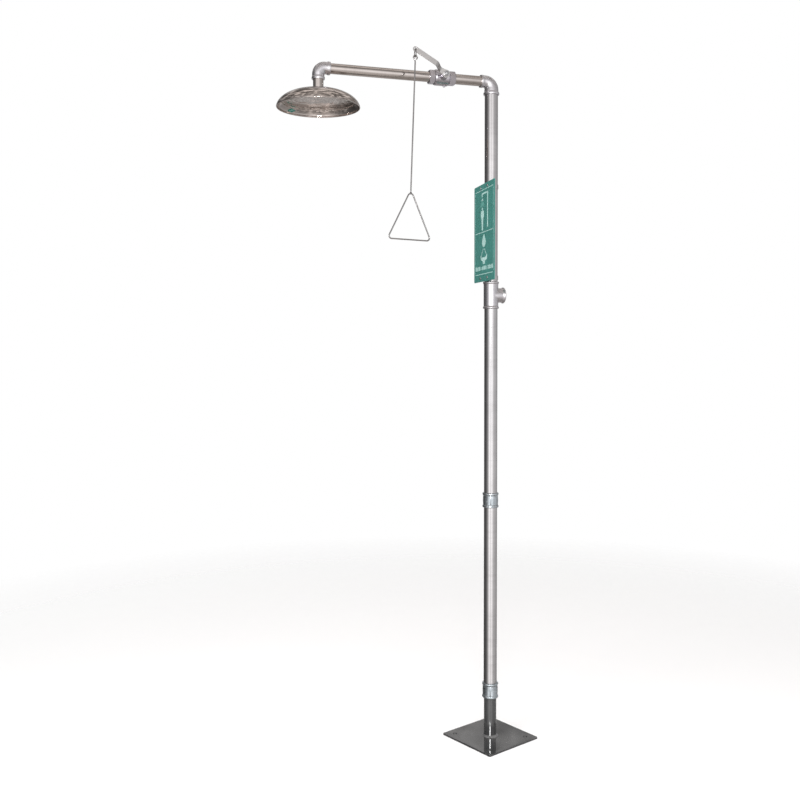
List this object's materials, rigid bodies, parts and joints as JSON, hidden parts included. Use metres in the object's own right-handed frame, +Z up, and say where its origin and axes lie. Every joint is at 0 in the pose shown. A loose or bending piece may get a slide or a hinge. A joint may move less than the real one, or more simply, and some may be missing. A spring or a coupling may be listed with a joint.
{
  "type": "emergency drench shower stand",
  "caption": "Floor-standing emergency drench shower: plate-footed pipe riser, overhead arm with ball valve, pull rod with triangular handle, round spun head and green pictogram sign.",
  "frame": {"origin": "on the floor under the riser's axis, the centre of the base plate's underside", "axes": "+Z up along the riser; the arm runs along -X; the valve's stem and lever face -Y; the inlet tee's branch points along +X"},
  "size_m": [0.8825, 0.301, 2.3099],
  "materials": {
    "black_paint": "glossy near-black paint",
    "galvanised_iron": "galvanised malleable iron, bluish grey, mottled",
    "riser_steel": "plain pipe, hidden under the cover tubes",
    "brushed_stainless": "stainless tube with a lengthways brushed finish",
    "grey_iron": "cast fitting, matte grey",
    "valve_steel": "cast stainless, grey with a faint violet cast",
    "lever_steel": "plated strap steel, satin",
    "polished_stainless": "polished stainless, faint warm cast",
    "seat_plastic": "off-white sealing plastic",
    "sign_green": "teal green panel with pale pictograms",
    "fastener_steel": "zinc plated"
  },
  "bodies": {
    "stand": {"base_plate": "black_paint", "base_stub_pipe": "black_paint", "base_weld": "black_paint", "lower_coupling": "galvanised_iron", "middle_coupling": "galvanised_iron", "lower_riser_pipe": "riser_steel", "middle_riser_pipe": "riser_steel", "upper_riser_pipe": "riser_steel", "lower_cover_tube": "brushed_stainless", "middle_cover_tube": "brushed_stainless", "upper_cover_tube": "brushed_stainless", "valve_nipple": "brushed_stainless", "sign_clamp_upper": "brushed_stainless", "sign_clamp_lower": "brushed_stainless", "inlet_tee": "grey_iron", "post_elbow": "grey_iron", "head_elbow": "grey_iron", "valve_body": "valve_steel", "valve_end_cap": "valve_steel", "gland_nut": "valve_steel", "head_inlet_socket": "valve_steel", "arm_pipe": "polished_stainless", "head_nipple": "polished_stainless", "shower_head_dome": "polished_stainless", "spray_plate": "polished_stainless", "valve_seat_post_side": "seat_plastic", "valve_seat_arm_side": "seat_plastic", "gland_packing": "seat_plastic", "sign_plate": "sign_green", "sign_bolt_1": "fastener_steel", "sign_bolt_2": "fastener_steel", "sign_bolt_3": "fastener_steel", "sign_bolt_4": "fastener_steel", "sign_nut_1": "fastener_steel", "sign_nut_2": "fastener_steel", "sign_nut_3": "fastener_steel", "sign_nut_4": "fastener_steel"},
    "lever": {"valve_ball": "polished_stainless", "valve_stem": "lever_steel", "lever_handle": "lever_steel", "lever_washer": "lever_steel", "lever_nut": "lever_steel"},
    "link": {"pull_link": "lever_steel"},
    "pull": {"pull_rod": "polished_stainless", "pull_handle": "polished_stainless"}
  },
  "joints": [
    {"name": "valve_lever_turn", "type": "hinge", "parent": "stand", "child": "lever", "pos_m": [-0.18, 0, 2.239], "axis": [0, -1, 0], "range_deg": [0, 90]},
    {"name": "link_turn", "type": "hinge", "parent": "lever", "child": "link", "pos_m": [-0.29453, -0.0785, 2.30197], "axis": [0, -1, 0], "range_deg": [-90, 0]},
    {"name": "pull_rod_swing", "type": "hinge", "parent": "link", "child": "pull", "pos_m": [-0.29453, -0.0785, 2.27597], "axis": [1, 0, 0], "range_deg": [-20, 20]}
  ],
  "couplings": [
    {"joint": "link_turn", "follows": "valve_lever_turn", "ratio": -1}
  ]
}
